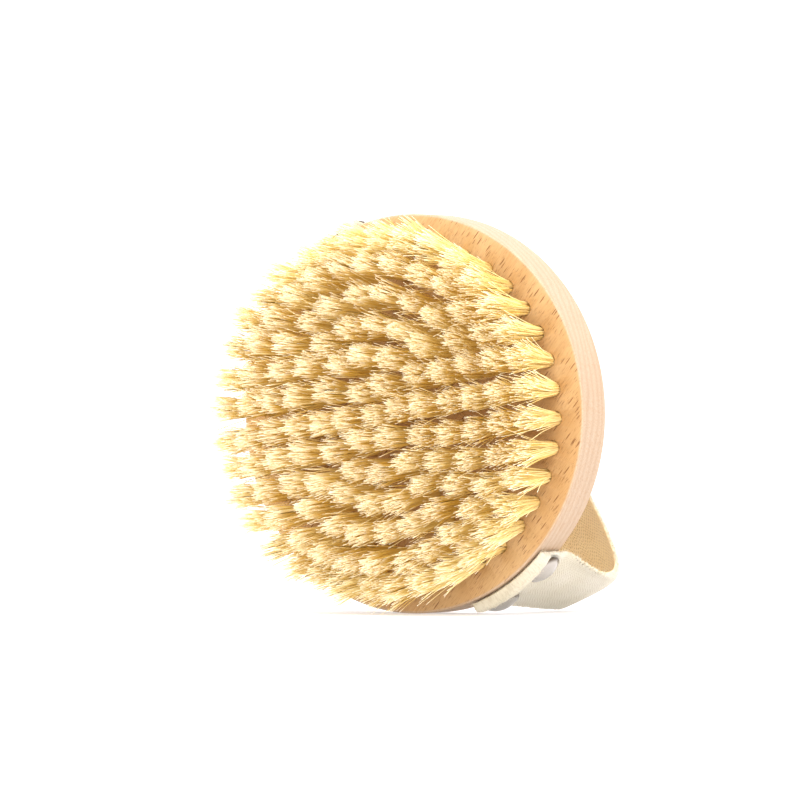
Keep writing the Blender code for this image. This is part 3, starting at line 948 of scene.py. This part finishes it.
# %% Grow the fuzz on the strap's edges and face
FUZZ_COUNT = 5200
SELVAGE_FROM = 0.94  # of the way from the webbing's middle to its edge
station = rng.integers(0, STATIONS, FUZZ_COUNT)
ends_only = rng.random(FUZZ_COUNT) < 0.30
station = np.where(ends_only, rng.integers(0, 9, FUZZ_COUNT), station)
station = np.where(ends_only & (rng.random(FUZZ_COUNT) < 0.5), STATIONS - 1 - station, station)
edge_columns = np.flatnonzero(np.abs(loop_across) > SELVAGE_FROM)
any_column = rng.integers(0, around, FUZZ_COUNT)
on_selvage = (rng.random(FUZZ_COUNT) < 0.62) & ~ends_only
column = np.where(on_selvage, rng.choice(edge_columns, FUZZ_COUNT), any_column)
roots = strap_points[station, column]
out_way = np.where((loop_depth[column] > 0.5)[:, None], normal[station, column], -normal[station, column])
selvage_side = np.sign(loop_across[column]) * (np.abs(loop_across[column]) > SELVAGE_FROM)
out_way = out_way + beside[station, column] * (selvage_side * 1.4)[:, None]
out_way = out_way + rng.normal(0, 0.75, out_way.shape)
out_way /= np.linalg.norm(out_way, axis=-1, keepdims=True)
bend_way = rng.normal(0, 0.5, out_way.shape)
fibre_length = rng.gamma(3.0, 0.00016, FUZZ_COUNT)[:, None].clip(0.0002, 0.0012)
stations = [roots - out_way * 0.00010]
for share in (0.35, 0.7, 1.0):
    stations.append(roots + fibre_length * (out_way * share + bend_way * share**2))
fuzz_paths = np.stack(stations, axis=1)
fuzz_radii = np.tile(np.array([0.000040, 0.000034, 0.000028, 0.000016]), (FUZZ_COUNT, 1))
fuzz_across = np.broadcast_to(np.array([0.31, 0.47, 0.83]), fuzz_paths.shape)
fuzz_points, fuzz_faces = sweep(fuzz_paths, fuzz_radii, fuzz_across)
print("fibres:", FUZZ_COUNT)

# %% [markdown]
# ## The fuzz as a piece
# The fibres are one piece with a finish of their own, because they carry no weave.

# %% The fuzz finish and piece
fuzz_finish, fuzz_shader, place = new_finish("cotton_fuzz", Roughness=0.95, Specular_IOR_Level=0.1)
speck = noise(place, place, 900.0)
feed(fuzz_shader, "Base Color", speck.tint(rgb(204, 193, 166), rgb(216, 208, 190)))
fuzz = new_piece("strap_fuzz", fuzz_points, fuzz_faces, fuzz_finish, smooth_below=75)
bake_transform(fuzz)
print("fuzz faces:", len(fuzz.data.polygons))

# %% [markdown]
# ## Nails
# Four domed upholstery nails, pressed from sheet and nickel plated. The dome's edge turns in, so
# the rim of each head makes a fine dark line against the cotton, which the finish deepens with a
# band of painted shade round the head's edge. One profile is revolved: dome, rounded rim, hollow
# underside, shank and point.

# %% The nickel finish
nickel, nickel_shader, place = new_finish("nickel_plate", Metallic=1.0)
cloud = noise(place, place, 420.0, 2.0)
hairline = noise(place, stretched(place, 500.0, 9000.0, 2500.0), 1.0)
plated = cloud.tint(rgb(170, 163, 153), rgb(184, 178, 169))
# Painted shade: a dark band round the outer edge of each head stands in for the shadow of the gap over the
# cotton.
head_rim_painted_shade = stored(place, "from_middle").between(0.80, 0.98)
feed(nickel_shader, "Base Color", head_rim_painted_shade.tint(plated, rgb(92, 80, 66)))
feed(nickel_shader, "Roughness", 0.15 + cloud * 0.10 + hairline.between(0.6, 0.75) * 0.12)
feed(nickel_shader, "Normal", bump(hairline * 0.3 + cloud, 0.000008))
print("nickel nodes:", len(nickel.node_tree.nodes))

# %% [markdown]
# ## Press once, drive four times
# One profile is turned into a nail, and the nail is driven at four places round the rim. Its dome
# is part of a large ball. The two upper nails are driven a little deeper.

# %% Press and drive the nails
UPPER_NAILS_DEEPER = 0.0006
dome_height = 0.0021
ball = (NAIL_HEAD_RADIUS**2 + dome_height**2) / (2 * dome_height)
dome_edge = math.degrees(math.asin((NAIL_HEAD_RADIUS - 0.0002) / ball))
nail_profile = [(0.0, 0.0026)] + arc((0, 0.0026 - ball), ball, 87, 90 - dome_edge, 12)
nail_profile += [(0.00545, 0.00040), (0.0055, 0.00022), (0.00544, 0.00006), (0.0053, 0.0)]
nail_profile += [(0.0050, 0.00005), (0.0040, 0.00075), (0.0020, 0.0011), (0.0011, 0.0010), (0.0008, 0.0006)]
NAIL_POINT = BLOCK_RADIUS - NAIL_HOLE_DEPTH + 0.0003 - NAIL_SEAT_RADIUS
nail_profile += [(0.0008, NAIL_POINT + 0.002), (0.0005, NAIL_POINT + 0.0009), (0.0, NAIL_POINT)]
nail_points, nail_faces = revolve(nail_profile, 56)
for label, angle in zip(("lower_1", "lower_2", "upper_1", "upper_2"), NAIL_ANGLES):
    sunk = UPPER_NAILS_DEEPER if label.startswith("upper") else 0.0
    seat = Matrix.Translation(polar(NAIL_SEAT_RADIUS - sunk, angle, -NAIL_DEPTH))
    turn = Matrix.Rotation(angle, 4, "Z") @ Matrix.Rotation(math.pi / 2, 4, "Y")
    driven = np.array([seat @ turn @ Vector(p) for p in nail_points])
    nail = new_piece("dome_nail_" + label, driven, nail_faces, nickel, smooth_below=50)
    store(nail, "from_middle", np.hypot(nail_points[:, 0], nail_points[:, 1]) / NAIL_HEAD_RADIUS)
    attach(nail, "brush")
    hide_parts("nail_" + label)
print("nails driven:", len(NAIL_ANGLES))

# %% [markdown]
# ## The table
# The brush stands on a white table that glows a little, as a light table does, so the shadow
# under it stays faint. A plain matt sheet would do, but the shadow at the brush's foot would be
# darker. The sheet sweeps up far behind, so no horizon shows.

# %% The floor
floor_finish, floor_shader, place = new_finish("lit_table", Roughness=0.8, Specular_IOR_Level=0.1)
floor_shader.inputs["Emission Color"].default_value = (1.0, 1.0, 1.0, 1.0)
floor_shader.inputs["Emission Strength"].default_value = 0.45
tooth = noise(place, place, 400.0)
feed(floor_shader, "Base Color", tooth.tint(rgb(206, 204, 208), rgb(210, 208, 212)))
floor_mesh = bpy.data.meshes.new("paper_sweep")
turns = np.linspace(0.1, 1.57, 12)
sweep_profile = [(-3.0, 0.0), (1.2, 0.0)]
sweep_profile += [(1.2 + 0.8 * math.sin(turn), 0.8 - 0.8 * math.cos(turn)) for turn in turns]
sweep_profile += [(2.0, 3.0)]
floor_points = [(x, y, z) for y, z in sweep_profile for x in (-4.0, 4.0)]
floor_quads = [(2 * i, 2 * i + 1, 2 * i + 3, 2 * i + 2) for i in range(len(sweep_profile) - 1)]
floor_mesh.from_pydata(floor_points, [], floor_quads)
floor_mesh.materials.append(floor_finish)
floor_mesh.polygons.foreach_set("use_smooth", [True] * len(floor_mesh.polygons))
paper = bpy.data.objects.new("paper_sweep", floor_mesh)
bpy.context.scene.collection.objects.link(paper)
print("floor laid")

# %% [markdown]
# ## The light
# Strong even light comes from all round, with one large panel overhead and one in front. In so
# strong a light the finishes keep their real, fairly dark tones, and the bristles, which shade
# each other, still come out bright. One small lamp would leave the gaps between tufts black.

# %% The lights
world = bpy.data.worlds.new("white_room")
world.use_nodes = True
world.node_tree.nodes["Background"].inputs["Color"].default_value = (1.0, 1.0, 1.0, 1.0)
world.node_tree.nodes["Background"].inputs["Strength"].default_value = 1.95
bpy.context.scene.world = world


def panel(name, place, aim, size, power):
    lamp = bpy.data.lights.new(name, "AREA")
    lamp.size = size
    lamp.energy = power
    made = bpy.data.objects.new(name, lamp)
    made.location = place
    made.rotation_euler = (Vector(aim) - Vector(place)).to_track_quat("-Z", "Y").to_euler()
    bpy.context.scene.collection.objects.link(made)


panel("overhead", (0.25, -0.1, 1.1), (0.0, 0.0, 0.06), 0.7, 9.0)
panel("front", (0.9, -1.5, 0.6), (0.0, 0.0, 0.06), 0.9, 8.0)
print("lights hung")

# %% [markdown]
# ## The camera
# A long lens near the height of the brush's middle sees the face turned about a third of the way to
# the side. From two metres away the round face shows as an even oval, and the rim and the strap's
# lower end come into view behind it. A short lens close by would bulge the tufts nearest to it.

# %% The camera
VIEW_TURN = math.radians(32.34)
CAMERA_DISTANCE = 2.0
AIM_LEFT = 0.00343  # from the middle of the face
AIM_UP = 0.0041
right = Vector((math.cos(VIEW_TURN), math.sin(VIEW_TURN), 0.0))
back = Vector((math.sin(VIEW_TURN), -math.cos(VIEW_TURN), 0.0))
face_middle = Vector((0.0, FACE_Y, AXIS_Z))
camera = bpy.data.objects.new("camera", bpy.data.cameras.new("camera"))
camera.data.lens = 300
camera.data.sensor_width = 36
camera.location = face_middle + back * CAMERA_DISTANCE - right * AIM_LEFT + Vector((0, 0, AIM_UP))
camera.rotation_euler = (math.pi / 2, 0.0, VIEW_TURN)
bpy.context.scene.collection.objects.link(camera)
bpy.context.scene.camera = camera
bpy.context.scene.view_settings.view_transform = "Standard"
print("camera", round(camera.location.length, 2), "m away")
